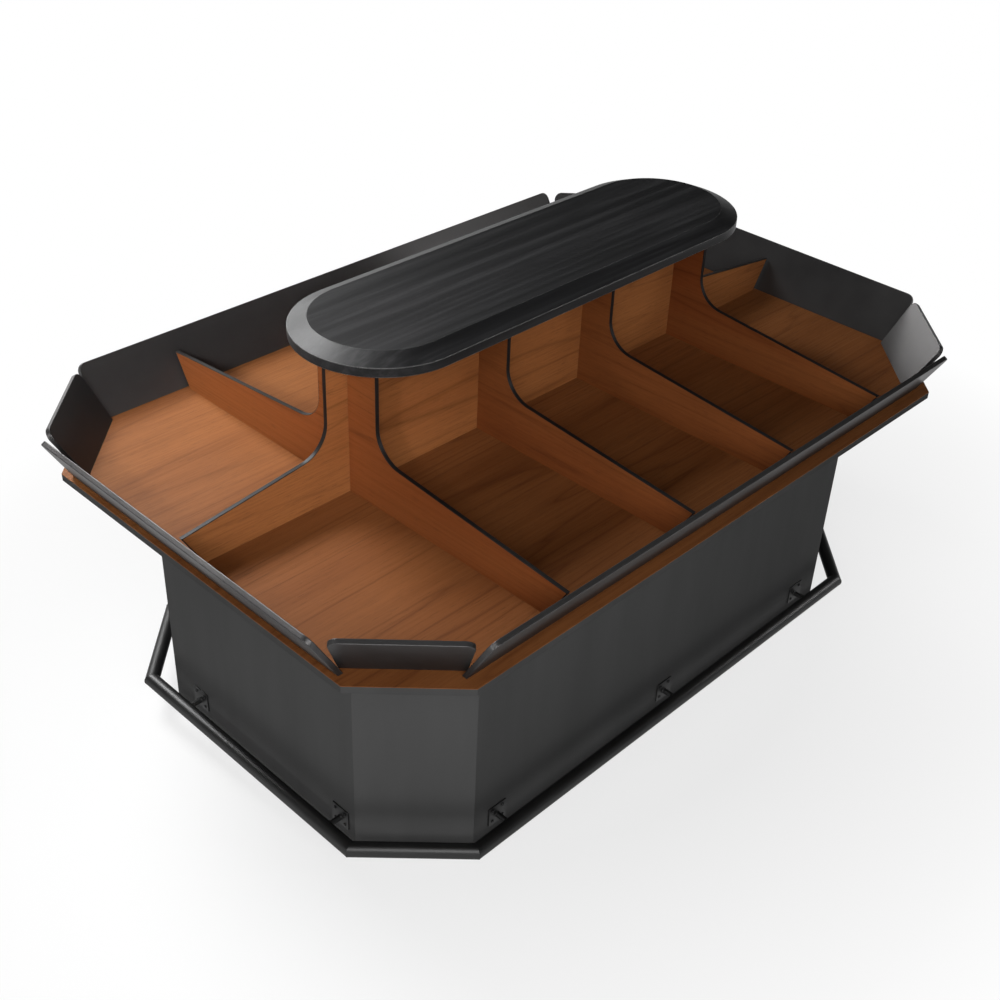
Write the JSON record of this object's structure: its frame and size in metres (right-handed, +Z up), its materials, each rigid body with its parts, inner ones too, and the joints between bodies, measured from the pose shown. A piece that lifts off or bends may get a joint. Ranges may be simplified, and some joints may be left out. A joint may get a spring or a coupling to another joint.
{
  "type": "gondola shelf",
  "caption": "Free-standing octagonal display island with a dark cabinet, wood bins behind leaning guards, a raised top board and a bumper rail.",
  "frame": {"origin": "on the floor under the middle of the island", "axes": "+X along the length, +Y to the back long side, +Z up"},
  "size_m": [2.5276, 1.6716, 1.318],
  "materials": {
    "graphite_panel": "board with graphite laminate, satin",
    "inner_board": "raw board",
    "walnut": "walnut, satin lacquer",
    "dark_edging": "satin edge band",
    "graphite_guard": "compact laminate, satin",
    "black_stained_wood": "black stain with visible grain",
    "black_powder_coat": "satin powder coat",
    "black_screw": "black oxide",
    "zinc_steel": "zinc plate",
    "black_plastic": "moulded nylon"
  },
  "bodies": {
    "island": {"base_panel_right": "graphite_panel", "base_panel_back_right": "graphite_panel", "base_panel_back": "graphite_panel", "base_panel_back_left": "graphite_panel", "base_panel_left": "graphite_panel", "base_panel_front_left": "graphite_panel", "base_panel_front": "graphite_panel", "base_panel_front_right": "graphite_panel", "base_bottom": "inner_board", "inner_web_long": "inner_board", "inner_web_left": "inner_board", "inner_web_right": "inner_board", "corner_posts": "inner_board", "deck_board": "walnut", "deck_edging": "dark_edging", "guard_right": "graphite_guard", "guard_back_right": "graphite_guard", "guard_back": "graphite_guard", "guard_back_left": "graphite_guard", "guard_left": "graphite_guard", "guard_front_left": "graphite_guard", "guard_front": "graphite_guard", "guard_front_right": "graphite_guard", "centre_divider": "walnut", "cross_divider_1": "walnut", "cross_divider_2": "walnut", "cross_divider_3": "walnut", "cross_divider_4": "walnut", "divider_edging": "dark_edging", "top_board": "black_stained_wood", "angle_brackets": "zinc_steel", "guard_screws": "zinc_steel", "divider_screws": "zinc_steel", "bracket_screws": "zinc_steel", "rail_right": "black_powder_coat", "rail_back_right": "black_powder_coat", "rail_back": "black_powder_coat", "rail_back_left": "black_powder_coat", "rail_left": "black_powder_coat", "rail_front_left": "black_powder_coat", "rail_front": "black_powder_coat", "rail_front_right": "black_powder_coat", "rail_plates": "black_powder_coat", "rail_standoffs": "black_powder_coat", "rail_screws": "black_screw", "foot_inserts": "zinc_steel"},
    "pad_1": {"foot_pad_1": "black_plastic"},
    "stud_1": {"foot_stud_1": "zinc_steel"},
    "pad_2": {"foot_pad_2": "black_plastic"},
    "stud_2": {"foot_stud_2": "zinc_steel"},
    "pad_3": {"foot_pad_3": "black_plastic"},
    "stud_3": {"foot_stud_3": "zinc_steel"},
    "pad_4": {"foot_pad_4": "black_plastic"},
    "stud_4": {"foot_stud_4": "zinc_steel"},
    "pad_5": {"foot_pad_5": "black_plastic"},
    "stud_5": {"foot_stud_5": "zinc_steel"},
    "pad_6": {"foot_pad_6": "black_plastic"},
    "stud_6": {"foot_stud_6": "zinc_steel"}
  },
  "joints": [
    {"name": "foot_extend_1", "type": "slide", "parent": "island", "child": "pad_1", "axis": [0, 0, -1], "range_m": [0, 0.0245]},
    {"name": "stud_turn_1", "type": "hinge", "parent": "pad_1", "child": "stud_1", "pos_m": [-0.8055, -0.501, 0.022], "axis": [0, 0, -1], "range_deg": [0, 5040]},
    {"name": "foot_extend_2", "type": "slide", "parent": "island", "child": "pad_2", "axis": [0, 0, -1], "range_m": [0, 0.0245]},
    {"name": "stud_turn_2", "type": "hinge", "parent": "pad_2", "child": "stud_2", "pos_m": [0, -0.501, 0.022], "axis": [0, 0, -1], "range_deg": [0, 5040]},
    {"name": "foot_extend_3", "type": "slide", "parent": "island", "child": "pad_3", "axis": [0, 0, -1], "range_m": [0, 0.0245]},
    {"name": "stud_turn_3", "type": "hinge", "parent": "pad_3", "child": "stud_3", "pos_m": [0.8055, -0.501, 0.022], "axis": [0, 0, -1], "range_deg": [0, 5040]},
    {"name": "foot_extend_4", "type": "slide", "parent": "island", "child": "pad_4", "axis": [0, 0, -1], "range_m": [0, 0.0245]},
    {"name": "stud_turn_4", "type": "hinge", "parent": "pad_4", "child": "stud_4", "pos_m": [0.8055, 0.501, 0.022], "axis": [0, 0, -1], "range_deg": [0, 5040]},
    {"name": "foot_extend_5", "type": "slide", "parent": "island", "child": "pad_5", "axis": [0, 0, -1], "range_m": [0, 0.0245]},
    {"name": "stud_turn_5", "type": "hinge", "parent": "pad_5", "child": "stud_5", "pos_m": [0, 0.501, 0.022], "axis": [0, 0, -1], "range_deg": [0, 5040]},
    {"name": "foot_extend_6", "type": "slide", "parent": "island", "child": "pad_6", "axis": [0, 0, -1], "range_m": [0, 0.0245]},
    {"name": "stud_turn_6", "type": "hinge", "parent": "pad_6", "child": "stud_6", "pos_m": [-0.8055, 0.501, 0.022], "axis": [0, 0, -1], "range_deg": [0, 5040]}
  ],
  "couplings": [
    {"joint": "stud_turn_1", "follows": "foot_extend_1", "rad_per_m": 3590.4},
    {"joint": "stud_turn_2", "follows": "foot_extend_2", "rad_per_m": 3590.4},
    {"joint": "stud_turn_3", "follows": "foot_extend_3", "rad_per_m": 3590.4},
    {"joint": "stud_turn_4", "follows": "foot_extend_4", "rad_per_m": 3590.4},
    {"joint": "stud_turn_5", "follows": "foot_extend_5", "rad_per_m": 3590.4},
    {"joint": "stud_turn_6", "follows": "foot_extend_6", "rad_per_m": 3590.4}
  ]
}
